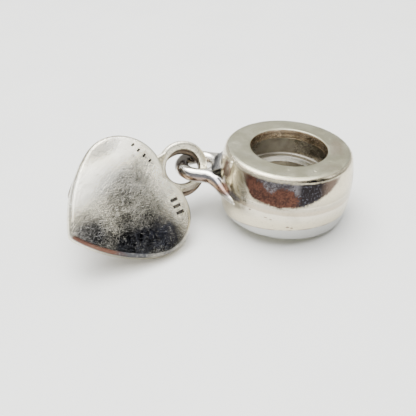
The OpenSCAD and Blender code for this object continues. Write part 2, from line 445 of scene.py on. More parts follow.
class HeartPlan:
    """Outline of a heart of one size, tip at the origin and lobes toward +X, in millimetres."""

    def __init__(self, h, scale):
        self.scale = scale
        self.tip = h.tip_radius
        self.c1 = Vector((h.lobe_along, h.lobe_across)) * scale
        self.r1 = h.lobe_radius * scale
        self.r2 = h.side_radius * scale
        d = self.c1.length
        a = (self.r2**2 - (self.r2 - self.r1) ** 2 + d * d) / (2 * d)
        rise = math.sqrt(self.r2**2 - a * a)
        e = self.c1 / d
        self.c2 = Vector((e.x * a + e.y * rise, e.y * a - e.x * rise))
        self.cleft = self.c1.x + math.sqrt(self.r1**2 - self.c1.y**2)

    def side(self, inset, steps):
        """One side of the outline drawn in by inset, from the tip to the cleft."""
        c1, c2 = self.c1, self.c2
        r1, r2 = self.r1 - inset, self.r2 - inset
        tip = self.tip * (self.scale - inset / TIP_FADE)
        tip_x = c2.x - math.sqrt((r2 - tip) ** 2 - c2.y**2)
        start = math.degrees(math.atan2(-c2.y, tip_x - c2.x))
        meet = math.degrees(math.atan2(c1.y - c2.y, c1.x - c2.x))
        last = -math.degrees(math.asin(c1.y / r1))
        long_steps = int(steps * LONG_SIDE_SHARE)
        pts = arc(tip_x, 0, tip, 180, start, 8)[:-1]
        pts += arc(c2.x, c2.y, r2, start, meet, long_steps)[:-1]
        return pts + arc(c1.x, c1.y, r1, meet, last, steps - long_steps)

    def ring(self, inset, steps):
        one = self.side(inset, steps)
        return one + [(u, -v) for u, v in reversed(one[1:-1])]

    def dome(self, u, v, height):
        s = self.scale
        far = ((u - DOME_MIDDLE * s) / (DOME_ALONG * s)) ** 2 + (v / (DOME_ACROSS * s)) ** 2
        return height * (1 - min(1.0, far))


def heart_plate(h, plan):
    """Points and faces of a plate with rounded edges and a softly domed front."""
    thick, front, back, steps = h.thickness, h.front_edge, h.back_edge, h.outline_steps
    middle = DOME_MIDDLE * plan.scale
    core = plan.ring(FRONT_INSETS[0], steps)

    def shrunk(t):
        return [(middle + (u - middle) * t, v * t) for u, v in core]

    def domed(outline, share=1.0, drop=0.0):
        return [(u, v, plan.dome(u, v, h.dome) * share - drop) for u, v in outline]

    def level(outline, z):
        return [(u, v, z) for u, v in outline]

    rings = [domed(shrunk(t)) for t in FRONT_RINGS]
    rings += [domed(plan.ring(inset, steps)) for inset in (*FRONT_INSETS, front)]
    for t in (k / 7 for k in range(1, 8)):
        a = math.radians(90 * t)
        rings.append(domed(plan.ring(front * (1 - math.sin(a)), steps), 1 - t, front * (1 - math.cos(a))))
    rings += [level(plan.ring(0, steps), -front + (back - thick + front) * t) for t in (0.33, 0.67)]
    for a in (math.radians(15 * k) for k in range(7)):
        rings.append(level(plan.ring(back * (1 - math.cos(a)), steps), back - thick - back * math.sin(a)))
    rings += [level(shrunk(t), -thick) for t in BACK_RINGS]
    return tube_of_rings(rings)


def loop_frame(loop, thick):
    """Where a hanging loop's middle lies and how it is turned, on a heart of that thickness."""
    spot = Vector((loop.along, loop.across, loop.over - thick / 2))
    twist = Matrix.Rotation(math.radians(loop.twist), 3, "X")
    return spot, twist @ Matrix.Rotation(math.radians(loop.bend), 3, "Y")


def hanging_loop(h, loop):
    """Flat ring with rounded edges, cast in one with its heart."""
    half = loop.thick / 2
    section = rounded_box(loop.hole, loop.hole + loop.band, -half, half, h.loop_edge, 6)
    spot, facing = loop_frame(loop, h.thickness)
    points, faces = spun(section, 160)
    return [tuple(spot + facing @ Vector(p)) for p in points], faces


def neck(h, plan, loop, half_width):
    """Web that fills the cleft and runs up both sides of the loop, turning with it."""
    rows, cols = 14, 28
    sunk, waist, spread = 0.55, 0.07, math.radians(78)
    front_half, back_half, loop_share = 0.43, 0.36, 0.49
    spot, facing = loop_frame(loop, h.thickness)
    mid = loop.hole + loop.band * 0.5
    root = Vector((plan.cleft - sunk, 0, -h.thickness / 2))
    up = Vector((0, 0, 1))
    points = []
    for side, root_half in ((1, front_half), (-1, back_half)):
        for i in range(rows + 1):
            t = i / rows
            normal = up.lerp(facing @ up, t).normalized()
            tall = root_half * (1 - t) + loop.thick * loop_share * t
            for j in range(cols + 1):
                s = 2 * j / cols - 1
                start = root + Vector((0, s * half_width * (1 - waist * math.sin(math.pi * t)), 0))
                turned_by = s * spread
                finish = spot + facing @ Vector((-mid * math.cos(turned_by), mid * math.sin(turned_by), 0))
                rounded = math.sqrt(1 - 0.8 * abs(s) ** 10)
                points.append(tuple(start.lerp(finish, t) + normal * (side * tall * rounded)))
    row = cols + 1
    sheet = row * (rows + 1)
    faces = []
    for lift in (0, sheet):
        for i in range(rows):
            for j in range(cols):
                k = lift + i * row + j
                faces.append((k, k + 1, k + 1 + row, k + row))
    for j in range(cols):
        faces += [(k, k + 1, k + 1 + sheet, k + sheet) for k in (j, rows * row + j)]
    for i in range(rows):
        faces += [(k, k + row, k + row + sheet, k + sheet) for k in (i * row, i * row + cols)]
    return points, faces


def punch_blocks(plan, dome):
    """Small blocks that cut the punched bars."""
    points, faces = [], []
    for along, across, wide, tall, degrees in PUNCH_MARKS:
        c, s = math.cos(math.radians(degrees)), math.sin(math.radians(degrees))
        k = len(points)
        for z in (plan.dome(along, across, dome) - PUNCH_DEPTH, 1.0):
            for du, dv in ((-tall, -wide), (tall, -wide), (tall, wide), (-tall, wide)):
                points.append((along + du * c - dv * s, across + du * s + dv * c, z))
        faces += [(k, k + 1, k + 2, k + 3), (k + 4, k + 7, k + 6, k + 5)]
        faces += [(k + i, k + 4 + i, k + 4 + (i + 1) % 4, k + (i + 1) % 4) for i in range(4)]
    return points, faces


def build_heart(name, scale, loop, neck_half_width, lies, punched=False):
    """One heart with its hanging loop, moved to where it lies."""
    h = Sizes(bpy.context.scene.pendant_hearts)
    plan = HeartPlan(h, scale)
    plate = new_piece(name, *heart_plate(h, plan))
    if punched:
        fuse(plate, [new_piece("punch", *punch_blocks(plan, h.dome))], "DIFFERENCE")
    points, faces = hanging_loop(h, loop)
    more_points, more_faces = neck(h, plan, loop, neck_half_width)
    faces += [tuple(i + len(points) for i in face) for face in more_faces]
    hanger = new_piece("hanger", points + more_points, faces)
    blend_skin(hanger, 0.035, 6)
    fuse(plate, [hanger])
    settle(plate, *lies)
    return plate


# Shader helpers.


class Value:
    """A number that shader nodes work out, with arithmetic that adds Math nodes."""

    def __init__(self, socket):
        self.socket = socket
        self.tree = socket.id_data

    def __add__(self, other):
        return calculate("ADD", self, other)

    def __sub__(self, other):
        return calculate("SUBTRACT", self, other)

    def __rsub__(self, other):
        return calculate("SUBTRACT", other, self)

    def __mul__(self, other):
        return calculate("MULTIPLY", self, other)

    def __truediv__(self, other):
        return calculate("DIVIDE", self, other)

    def __rtruediv__(self, other):
        return calculate("DIVIDE", other, self)

    def __pow__(self, other):
        return calculate("POWER", self, other)

    def __abs__(self):
        return calculate("ABSOLUTE", self)

    def held(self):
        """The same number, held between 0 and 1 by the Math node that gives it."""
        self.socket.node.use_clamp = True
        return self


def feed(target, value):
    """Links a value or a socket to the target socket, or sets the target to a plain number or colour."""
    source = value.socket if isinstance(value, Value) else value
    if isinstance(source, bpy.types.NodeSocket):
        target.id_data.links.new(source, target)
    elif target.type == "RGBA":
        target.default_value = (*source[:3], 1.0)
    else:
        target.default_value = source


def add_node(tree, kind, inputs, **settings):
    """A new node with its settings made and its inputs fed, by name or number."""
    made = tree.nodes.new(kind)
    for key, value in settings.items():
        setattr(made, key, value)
    for key, value in inputs.items():
        feed(made.inputs[key], value)
    return made


def calculate(operation, *numbers):
    """A Math node's result, from values and plain numbers."""
    tree = next(number.tree for number in numbers if isinstance(number, Value))
    return Value(add_node(tree, "ShaderNodeMath", dict(enumerate(numbers)), operation=operation).outputs[0])


def most(first, *others):
    """The greatest of some values."""
    for other in others:
        first = calculate("MAXIMUM", first, other)
    return first


def length_of(a, b):
    """Length of the way with sides a and b."""
    return calculate("SQRT", a * a + b * b)


def ramp(value, start, stop):
    """0 up to start and 1 from stop on, smooth between them. Start may be the greater one."""
    inputs = {"Value": value, "From Min": start, "From Max": stop}
    made = add_node(value.tree, "ShaderNodeMapRange", inputs, interpolation_type="SMOOTHSTEP")
    return Value(made.outputs["Result"])


def blend(amount, a, b):
    """Colour a, going over to colour b where the amount is 1."""
    inputs = {"Factor": amount, "A": a, "B": b}
    return add_node(amount.tree, "ShaderNodeMix", inputs, data_type="RGBA").outputs["Result"]


def noise_of(vector, scale, detail, roughness, distortion, shift):
    """Noise from 0 to 1 over a place given in millimetres."""
    inputs = {"Vector": vector, "Scale": scale, "Detail": detail, "Roughness": roughness}
    inputs.update(Distortion=distortion, W=shift)
    return Value(add_node(vector.id_data, "ShaderNodeTexNoise", inputs, noise_dimensions="4D").outputs["Fac"])


def unevenness(*noise):
    """Noise from -0.5 to 0.5."""
    return noise_of(*noise) - 0.5


def vector_math(operation, vector, second, second_name=1):
    inputs = {0: vector, second_name: second}
    return add_node(vector.id_data, "ShaderNodeVectorMath", inputs, operation=operation).outputs


def scaled(vector, by):
    return vector_math("SCALE", vector, by, "Scale")[0]


def turned(vector, turns, undo=False):
    """A vector turned by three angles in radians, or turned back."""
    inputs = {"Vector": vector, "Rotation": turns}
    settings = {"rotation_type": "EULER_XYZ", "invert": undo}
    return add_node(vector.id_data, "ShaderNodeVectorRotate", inputs, **settings).outputs[0]


def turned_back(vector, spot, turns):
    """A place as seen from a spot, with a turn of three angles in radians undone."""
    return turned(vector_math("SUBTRACT", vector, spot)[0], turns, undo=True)


def parts_of(vector):
    return [Value(part) for part in add_node(vector.id_data, "ShaderNodeSeparateXYZ", {0: vector}).outputs]


def place_in_mm(tree, spot=(0.0, 0.0, 0.0), turns=(0.0, 0.0, 0.0)):
    """A piece's own coordinates in millimetres, from before it was settled, as a vector and three numbers."""
    where = add_node(tree, "ShaderNodeTexCoord", {}).outputs["Object"]
    own = turned_back(scaled(where, 1.0 / MM), spot, turns)
    return own, *parts_of(own)


def outputs_of(made):
    """A node's outputs by name, the numbers among them as values."""
    return {socket.name: Value(socket) if socket.type == "VALUE" else socket for socket in made.outputs}


# Shared effects, as node groups.


def spaced(values):
    """The same values, with spaces in their labels."""
    return {label.replace("_", " "): value for label, value in values.items()}


def new_group(name, **inputs):
    """A node group and its inputs: None makes a vector, a float a number and a tuple a colour."""
    if name in bpy.data.node_groups:
        bpy.data.node_groups.remove(bpy.data.node_groups[name])
    group = bpy.data.node_groups.new(name, "ShaderNodeTree")
    kinds = {type(None): "NodeSocketVector", float: "NodeSocketFloat", tuple: "NodeSocketColor"}
    for label, value in spaced(inputs).items():
        socket = group.interface.new_socket(name=label, in_out="INPUT", socket_type=kinds[type(value)])
        if value is not None:
            socket.default_value = value
    return group, outputs_of(group.nodes.new("NodeGroupInput"))


def end_group(group, **outputs):
    """Puts values and colours out of a node group under their names."""
    for label, value in spaced(outputs).items():
        kind = "NodeSocketFloat" if isinstance(value, Value) else "NodeSocketColor"
        group.interface.new_socket(name=label, in_out="OUTPUT", socket_type=kind)
    add_node(group, "NodeGroupOutput", spaced(outputs))


def effect(group, vector, **values):
    """Puts a node group in a material with its own values, and gives its outputs by name."""
    inputs = spaced({"Place": vector, **values})
    shared = bpy.data.node_groups[group]
    return outputs_of(add_node(vector.id_data, "ShaderNodeGroup", inputs, node_tree=shared))


def make_clouded_silver():
    """Worn silver: clean metal clouded with duller metal, and stains in the deepest clouds."""
    group, a = new_group(
        "Clouded silver", Place=None, Clean=(0.8, 0.8, 0.75, 1.0), Dull=(0.5, 0.5, 0.4, 1.0),
        Stain=(0.1, 0.07, 0.05, 1.0), Cloud_size=1.0, Dullness=0.5, Staining=0.2,
    )
    spot = scaled(a["Place"], 1.0 / a["Cloud size"])
    clouds = noise_of(spot, 1.0, 5.0, 0.6, 0.3, 1.3)
    dull = ((clouds - (0.72 - a["Dullness"] * 0.45)) * 5.0).held()
    spots = noise_of(spot, 3.4, 6.0, 0.68, 0.6, 7.7)
    stain = ((spots - (0.78 - a["Staining"] * 0.4)) * 9.0).held()
    tone = blend(dull, a["Clean"], a["Dull"])
    end_group(group, Colour=blend(stain, tone, a["Stain"]), Dull_mask=dull, Stain_mask=stain)


def make_hair_scratches():
    """Fine straight scratches lying at one angle, a few micrometres wide and broken up."""
    group, a = new_group("Hair scratches", Place=None, Turn=None, Crowding=4.0, Amount=0.5)
    spot = turned(a["Place"], a["Turn"])
    drawn_out = scaled(vector_math("MULTIPLY", spot, (0.16, 3.2, 1.4))[0], a["Crowding"])
    thin = ramp(abs(unevenness(drawn_out, 1.0, 2.0, 0.5, 0.15, 3.1)), 0.02, 0.0)
    broken = ramp(noise_of(spot, 0.9, 3.0, 0.6, 0.0, 9.4), 0.45, 0.62)
    end_group(group, Lines=thin * broken * a["Amount"])


def make_short_nicks():
    """Short straight nicks, about half a millimetre long, lying at one angle in the plane of a plate."""
    group, a = new_group("Short nicks", Place=None, Turn=None, Rarity=0.62, Shift=0.0)
    drawn_out = vector_math("MULTIPLY", turned(a["Place"], a["Turn"]), (2.6, 12.0, 4.0))[0]
    cells = noise_of(drawn_out, 1.0, 1.0, 0.5, 0.0, a["Shift"])
    end_group(group, Nicks=((cells - a["Rarity"]) * 25.0).held())


def make_ragged_patch():
    """Mask of one patch, used for stains and for painted light alike: an oval on a surface's own two
    directions, with a ragged rim.
    """
    group, a = new_group(
        "Ragged patch", Place=None, Across=0.0, Up=0.0, Middle_across=0.0, Middle_up=0.0,
        Half_width=1.0, Half_height=1.0, Softness=0.2, Raggedness=0.3,
    )
    squareness = 2.6
    x = abs((a["Across"] - a["Middle across"]) / a["Half width"])
    y = abs((a["Up"] - a["Middle up"]) / a["Half height"])
    rag = unevenness(a["Place"], 1.7, 5.0, 0.62, 0.5, 4.4)
    far = (x**squareness + y**squareness) ** (1 / squareness) + rag * (a["Raggedness"] * 4.0)
    end_group(group, Mask=((1.0 - far) / a["Softness"] + 0.5).held())


def clouded(vector, clean, dull, stain, cloud_size, dullness, staining):
    return effect("Clouded silver", vector, Clean=clean, Dull=dull, Stain=stain,
                  Cloud_size=cloud_size, Dullness=dullness, Staining=staining)


def scratches(vector, rows):
    """Hair scratches of several kinds. A row gives their turn, crowding and amount."""
    return most(*(
        effect("Hair scratches", vector, Turn=turns, Crowding=crowding, Amount=amount)["Lines"]
        for turns, crowding, amount in rows
    ))


def nicks(vector, rows):
    """Short nicks of several kinds. A row gives their turn in the plate's plane, rarity and shift."""
    return most(*(
        effect("Short nicks", vector, Turn=(0.0, 0.0, spin), Rarity=rarity, Shift=shift)["Nicks"]
        for spin, rarity, shift in rows
    ))


def with_stains_and_painted_light(tone, vector, across, up, rows, within, tones):
    """A tone with a table's stains and painted light laid over it inside a mask, and the masks of these
    patches.
    """
    masks = []
    for middle_across, middle_up, half_width, half_height, softness, raggedness, strength, name in rows:
        patch = effect(
            "Ragged patch", vector, Across=across, Up=up, Middle_across=middle_across, Middle_up=middle_up,
            Half_width=half_width, Half_height=half_height, Softness=softness, Raggedness=raggedness,
        )["Mask"]
        masks.append(patch * strength * within)
        tone = blend(masks[-1], tone, tones[name])
    return tone, masks


def new_material(name):
    material = bpy.data.materials.new(name)
    material.use_nodes = True
    tree = material.node_tree
    tree.nodes.clear()
    shader = add_node(tree, "ShaderNodeBsdfPrincipled", {})
    add_node(tree, "ShaderNodeOutputMaterial", {"Surface": shader.outputs["BSDF"]})
    return material, tree, shader


def finish_metal(shader, tone, rough, height, strength):
    """Feeds a metal's shader. A height of 1 is a bump of 0.02 mm."""
    feed(shader.inputs["Base Color"], tone)
    feed(shader.inputs["Roughness"], rough.held())
    shader.inputs["Metallic"].default_value = 1.0
    inputs = {"Strength": strength, "Distance": 0.02 * MM, "Height": height}
    feed(shader.inputs["Normal"], add_node(shader.id_data, "ShaderNodeBump", inputs).outputs["Normal"])


# Silver of the bead.


# Tones of wear and tarnish and of painted light, beside those in the silver settings.
# Ochre serves only the painted reflection around the foot.
OCHRE = (0.3, 0.27, 0.21)
UMBER = (0.12, 0.08, 0.06)
SPECKLE = (0.3, 0.26, 0.18)
# Grey of the painted reflection of shaded floor, low on the side.
SHADED_FLOOR_REFLECTION = (0.5, 0.5, 0.485)
# Painted shade in the bore below its middle.
LOWER_BORE_SHADE = (0.16, 0.14, 0.1)
# Painted highlight on the rib in the bore.
RIB_HIGHLIGHT = (0.9, 0.87, 0.78)
# Tones of the painted dark reflection high on the bead's front.
RUDDY, DEEP_RUDDY = (0.1, 0.045, 0.032), (0.04, 0.022, 0.018)
DUSK, DEEP_DUSK = (0.17, 0.16, 0.17), (0.05, 0.044, 0.048)
NIGHT = (0.1, 0.1, 0.12)
FADED = (0.16, 0.115, 0.09)
# Painted reflection bands on the ring's legs.
LEG_REFLECTION_BLUE, LEG_REFLECTION_BROWN = (0.09, 0.085, 0.11), (0.2, 0.11, 0.075)
# Painted shade on the foot's top.
FOOT_TOP_SHADE = (0.02, 0.02, 0.024)
# Painted shade on the ring's far end.
FAR_END_SHADE = (0.06, 0.045, 0.036)
# Painted shade in the hollow under the foot.
HOLLOW_SHADE = (0.05, 0.035, 0.03)

# Metal of the bead's zones: clean tone, duller tone, tone of stains, cloud size, dullness, staining.
SIDE_METAL = ((0.7, 0.63, 0.47), (0.44, 0.39, 0.28), "brown", 1.6, 0.45, 0.16)
FACE_METAL = ((0.49, 0.475, 0.36), (0.4, 0.385, 0.27), "brown", 1.1, 0.75, 0.06)
FLANGE_METAL = ((0.7, 0.58, 0.44), (0.42, 0.34, 0.25), "black", 0.6, 0.6, 0.3)
GROOVE_METAL = ((0.36, 0.33, 0.27), (0.24, 0.21, 0.17), "black", 0.8, 0.6, 0.3)
RING_METAL = ((0.84, 0.81, 0.74), (0.6, 0.55, 0.47), "umber", 0.7, 0.3, 0.2)

# Soft edges of the zones in millimetres, each from outside the zone to inside it. Heights are taken from the
# bead's mid-length, and radii from the bore's axis.
FACE_HEIGHT = (2.12, 2.18)
BORE_RADIUS, BORE_HEIGHT = (2.52, 2.44), (2.19, 2.1)
GROOVE_RADIUS = (3.0, 2.9)
FLANGE_HEIGHT = (1.5, 1.58)
LOWER_BORE_HEIGHT = (-0.14, -0.3)
RIB_HEIGHT = (0.26, 0.2)
RING_RADIUS = (4.16, 4.3)

# Zones of the bail ring and its foot: the legs between top and cream underside, beside the hole, which carry
# painted reflection bands; the ring's far end, and the dark tops of the foot and of the hollow under it, all
# three of them painted shade.
LEG_TOP, LEG_UNDERSIDE, BESIDE_HOLE = (0.36, 0.27), (-0.24, -0.14), (0.9, 1.3)
BLUE_HEIGHT = (0.02, 0.16)
FAR_END_X, FAR_END_Y = (-5.7, -6.1), (-1.0, -0.72)
FOOT_RADIUS, FOOT_HEIGHT = (4.85, 4.7), (0.3, 0.42)
HOLLOW_RADIUS, HOLLOW_HEIGHT, HOLLOW_WIDTH = (4.8, 4.6), (0.32, 0.2), (0.95, 0.7)

# Painted dark reflection high on the bead's front. Its lower edge is lowest at one angle and rises with the
# square of the way from it. Slate lies above the brown, black to the right of both, and the right end is
# faded.
CRESCENT_MIDDLE, CRESCENT_ENDS = 82.0, (54.0, 38.0)
CRESCENT_LOWEST, CRESCENT_LOWEST_ANGLE, CRESCENT_RISE = 0.24, 90.0, 0.00052
CRESCENT_LEFT, CRESCENT_LEFT_RISE = -115.0, 0.06
CRESCENT_TOP = (1.98, 1.84)
SLATE_HEIGHT, SLATE_LEFT, SLATE_LEFT_RISE = (1.15, 1.5), -100.0, 0.04
BLACK_ANGLE = (-80.0, -73.0)
FADED_ANGLE = (-60.0, -46.0)

# Thin brown line low on the side: height, angle where it is highest, how it sinks with the square of the way
# from there, its half width and strength, and how far round it goes.
LINE_HEIGHT, LINE_ANGLE, LINE_SINK = 1.16, 50.0, 0.00009
LINE_HALF_WIDTH, LINE_STRENGTH = (0.06, 0.02), 0.55
LINE_ENDS = (100.0, 86.0)

# Stains on the bead's side, and painted reflection and shade around the foot: angle round the bead, height,
# half width in degrees, half height, softness, raggedness, strength, tone.
SIDE_STAINS_AND_PAINTED_LIGHT = (
    (-115, -0.28, 1.2, 0.05, 0.5, 0.2, 0.9, "brown"),
    (-101, -0.5, 1.6, 0.035, 0.5, 0.3, 0.8, "brown"),
    (-96.5, -0.56, 1.2, 0.03, 0.5, 0.3, 0.7, "brown"),
    (-82, -1.0, 1.6, 0.06, 0.5, 0.4, 0.85, "brown"),
    (-78.5, -1.05, 1.2, 0.05, 0.5, 0.4, 0.85, "brown"),
    # The next five rows are painted reflection and shade around the foot and the claw's leg, not stains.
    (-149, 1.3, 7, 0.52, 0.3, 0.18, 0.92, "brown"),
    (-146.5, 1.2, 3.5, 0.26, 0.8, 0.3, 0.45, "ochre"),
    (-124, 1.35, 11, 0.55, 0.8, 0.3, 0.3, "ochre"),
    (-133, 0.0, 9, 0.2, 0.5, 0.2, 0.85, "slate"),
    (-146, 0.1, 6, 0.26, 0.5, 0.2, 0.7, "brown"),
    (112, 0.6, 26, 0.8, 0.4, 0.3, 0.8, "brown"),
    (60, -0.7, 30, 0.6, 0.4, 0.3, 0.7, "slate"),
    (0, 0.9, 14, 0.5, 0.5, 0.3, 0.5, "brown"),
)

# Stains on the bead's end faces: place along X and Y in millimetres, half sizes, and the rest as above.
FACE_STAINS = (
    (2.95, 0.7, 0.42, 1.0, 0.8, 0.35, 0.45, "brown"),
    (2.6, -2.1, 0.7, 0.5, 0.9, 0.35, 0.25, "brown"),
    (-2.6, -1.9, 0.8, 0.4, 0.8, 0.3, 0.2, "slate"),
)

# Hair scratches on the bead: three turns in radians, crowding, amount.
BEAD_SCRATCHES = (((0.3, 0.2, 0.5), 5.0, 0.7), ((0.1, 1.2, -0.9), 6.0, 0.6))


def painted_dark_reflection(vector, angle, z, black):
    """Mask and tone of the painted dark reflection high on the bead's front."""
    rag = unevenness(vector, 2.4, 6.0, 0.7, 0.4, 8.1)
    hair = unevenness(vector, 9.0, 3.0, 0.7, 0.2, 2.2)
    blot = unevenness(vector, 0.9, 3.0, 0.5, 0.2, 3.7)
    ragged = rag * 0.5 + hair * 0.45

    away = angle + CRESCENT_LOWEST_ANGLE
    left = most(CRESCENT_LEFT - angle, 0.0)
    lower_edge = away * away * CRESCENT_RISE + CRESCENT_LOWEST + left * CRESCENT_LEFT_RISE
    mask = ramp(z - lower_edge + ragged, -0.08, 0.2)
    mask *= ramp(z - ragged * 0.35, *CRESCENT_TOP)
    mask *= ramp(abs(angle + CRESCENT_MIDDLE) + ragged * 20.0, *CRESCENT_ENDS)

    brown = blend(ramp(rag + hair, -0.16, 0.16), RUDDY, DEEP_RUDDY)
    slate = blend(ramp(blot + hair, -0.14, 0.14), DEEP_DUSK, DUSK)
    night = blend(ramp(hair, 0.02, 0.2), black, NIGHT)
    level = z - most(SLATE_LEFT - angle, 0.0) * SLATE_LEFT_RISE + blot * 1.6 + ragged
    tone = blend(ramp(level, *SLATE_HEIGHT), brown, slate)
    tone = blend(ramp(angle + ragged * 14.0, *BLACK_ANGLE), tone, night)
    return mask, blend(ramp(angle + ragged * 16.0, *FADED_ANGLE) * 0.9, tone, FADED)


def low_line(vector, angle, z):
    """Masks of the thin brown line low on the bead's front and of the painted reflection of shaded floor
    under it.
    """
    rag = unevenness(vector, 1.5, 4.0, 0.6, 0.2, 1.9)
    away = angle + LINE_ANGLE
    gap = z + LINE_HEIGHT + away * away * LINE_SINK + rag * 0.06
    front = ramp(abs(away), *LINE_ENDS)
    line = ramp(abs(gap), *LINE_HALF_WIDTH) * LINE_STRENGTH * ramp(rag, -0.1, 0.1)
    return line * front, ramp(gap, 0.03, -0.05) * front


def ring_tone(metal, vector, radius, x, y, z):
    """Silver of the bail ring and its foot: cream on top, then painted reflection bands of blue-grey and
    brown, with painted shade on the far end, the foot's top and the hollow under the foot.
    """
    rag = unevenness(vector, 3.0, 3.0, 0.6, 0.2, 6.3)
    level, beside = z + rag * 0.16, abs(y)
    # Painted reflection bands on the legs: brown low, blue-grey above it.
    legs = ramp(level, *LEG_TOP) * ramp(level, *LEG_UNDERSIDE) * ramp(beside, *BESIDE_HOLE)
    tone = blend(legs * 0.85, metal, blend(ramp(level, *BLUE_HEIGHT), LEG_REFLECTION_BROWN, LEG_REFLECTION_BLUE))
    # Painted shade on the ring's far end.
    shaded_far_end = ramp(y + rag * 0.6, *FAR_END_Y) * ramp(x + rag, *FAR_END_X)
    tone = blend(shaded_far_end * 0.88, tone, FAR_END_SHADE)
    # Painted shade on the foot's top.
    tone = blend(ramp(radius, *FOOT_RADIUS) * ramp(z, *FOOT_HEIGHT) * 0.96, tone, FOOT_TOP_SHADE)
    # Painted shade in the hollow under the foot.
    hollow = ramp(radius, *HOLLOW_RADIUS) * ramp(z, *HOLLOW_HEIGHT) * ramp(beside, *HOLLOW_WIDTH)
    return blend(hollow * 0.9, tone, HOLLOW_SHADE)


def bead_material(lean):
    look = bpy.context.scene.pendant_silver
    material, tree, shader = new_material("bead_silver")
    vector, x, y, z = place_in_mm(tree, turns=lean)
    tones = {"brown": look.brown, "slate": look.slate, "black": look.black, "ochre": OCHRE, "umber": UMBER}
    radius = length_of(x, y)
    angle = calculate("ARCTAN2", y, x) * math.degrees(1)
    off_middle = abs(z)
    side, face, flange, groove, ring = (
        clouded(vector, clean, dull, tones[stain], *rest)
        for clean, dull, stain, *rest in (SIDE_METAL, FACE_METAL, FLANGE_METAL, GROOVE_METAL, RING_METAL)
    )

    on_face = ramp(off_middle, *FACE_HEIGHT)
    on_side = 1.0 - on_face
    on_ring = ramp(radius, *RING_RADIUS)
    on_flange = ramp(radius, *BORE_RADIUS) * ramp(off_middle, *BORE_HEIGHT)
    in_bore = most(on_flange, ramp(radius, *GROOVE_RADIUS) * on_side)
    inside = blend(ramp(off_middle, *FLANGE_HEIGHT), groove["Colour"], flange["Colour"])
    # Painted shade: the bore is darker below its middle.
    inside = blend(ramp(z, *LOWER_BORE_HEIGHT), inside, LOWER_BORE_SHADE)
    # Painted highlight on the rib.
    inside = blend(ramp(off_middle, *RIB_HEIGHT), inside, RIB_HIGHLIGHT)

    tone = blend(on_face, side["Colour"], face["Colour"])
    speckle = ramp(noise_of(vector, 9.0, 3.0, 0.65, 0.2, 5.2), 0.53, 0.68)
    tone = blend(speckle * 0.4, tone, SPECKLE)
    tone = blend(on_ring, tone, ring_tone(ring["Colour"], vector, radius, x, y, z))
    # Side stains, and painted reflection and shade around the foot.
    tone, side_stain_and_light_masks = with_stains_and_painted_light(tone, vector, angle, z, SIDE_STAINS_AND_PAINTED_LIGHT, on_side, tones)
    # Painted dark reflection high on the front.
    crescent_reflection, crescent_reflection_tone = painted_dark_reflection(vector, angle, z, look.black)
    tone = blend(crescent_reflection, tone, crescent_reflection_tone)
    # Thin brown line low on the front, and the painted reflection of shaded floor under it.
    line, floor_reflection_band = low_line(vector, angle, z)
    tone = blend(floor_reflection_band * on_side, tone, SHADED_FLOOR_REFLECTION)
    tone = blend(line * on_side, tone, look.brown)
    tone, face_masks = with_stains_and_painted_light(tone, vector, x, y, FACE_STAINS, on_face, tones)
    tone = blend(in_bore, tone, inside)

    lines = scratches(vector, BEAD_SCRATCHES)
    # This mask holds the stains together with the painted reflections and shade.
    stains = most(crescent_reflection, *side_stain_and_light_masks, *face_masks)
    rough = on_face * 0.2 + side["Dull mask"] * 0.08 + speckle * 0.1 + stains * 0.2 + lines * 0.12
    pits = ramp(noise_of(vector, 2.6, 2.0, 0.4, 0.0, 6.0), 0.7, 0.76)
    fine = noise_of(vector, 7.0, 4.0, 0.6, 0.0, 2.0)
    broad = noise_of(vector, 0.55, 2.0, 0.5, 0.0, 5.0)
    height = fine * 0.4 - lines * 0.4 - pits * 1.2 + broad * 2.2
    finish_metal(shader, tone, rough + in_bore * 0.1 + look.polish, height, 0.6)
    return material


# Silver of the hearts.


# Tones of the painted reflections on the front heart's face: bright highlights and dark shades.
PAINTED_REFLECTION_TONES = {
    "white": (0.98, 0.95, 0.86),
    "cream": (0.98, 0.94, 0.78),
    "ash": (0.2, 0.195, 0.18),
    "smoke": (0.15, 0.148, 0.138),
    "lead": (0.1, 0.1, 0.115),
    "ink": (0.03, 0.034, 0.05),
    "navy": (0.02, 0.024, 0.04),
}

# Painted reflections on the front heart's face, bright highlights and dark shades: place along and across it,
# half sizes, softness, raggedness, strength, tone.
FACE_PAINTED_REFLECTIONS = (
    (2.6, 2.0, 2.2, 0.9, 0.9, 0.22, 0.85, "white"),
    (5.8, 3.0, 0.9, 0.8, 0.9, 0.22, 0.8, "white"),
    (0.9, -0.5, 1.1, 0.9, 0.9, 0.22, 0.85, "lead"),
    (4.4, -0.3, 2.1, 1.6, 1.4, 0.22, 0.65, "smoke"),
    (4.7, 1.0, 1.4, 1.0, 1.2, 0.22, 0.65, "ash"),
    (2.9, -2.6, 2.6, 1.5, 1.0, 0.22, 0.94, "navy"),
    (4.9, -3.1, 1.0, 1.1, 0.9, 0.22, 0.88, "ink"),
    (4.45, 3.45, 1.25, 0.42, 0.9, 0.22, 0.75, "ash"),
    (6.9, -1.0, 0.9, 2.1, 0.9, 0.22, 0.9, "cream"),
)

# Hair scratches on a heart: three turns in radians, crowding, amount.
HEART_SCRATCHES = (
    ((0.0, 0.0, 0.4), 4.2, 1.0),
    ((0.0, 0.0, -0.5), 5.2, 0.9),
    ((0.0, 0.0, 1.1), 4.8, 0.8),
    ((0.0, 0.0, -1.25), 6.0, 0.7),
    ((0.0, 0.0, 0.05), 7.0, 0.6),
)

# Short nicks on a heart: turn in radians, rarity, shift.
DARK_NICKS = ((0.9, 0.62, 0.0), (-0.7, 0.63, 1.5))
LIGHT_NICKS = ((0.5, 0.62, 4.0), (-1.2, 0.63, 5.5))

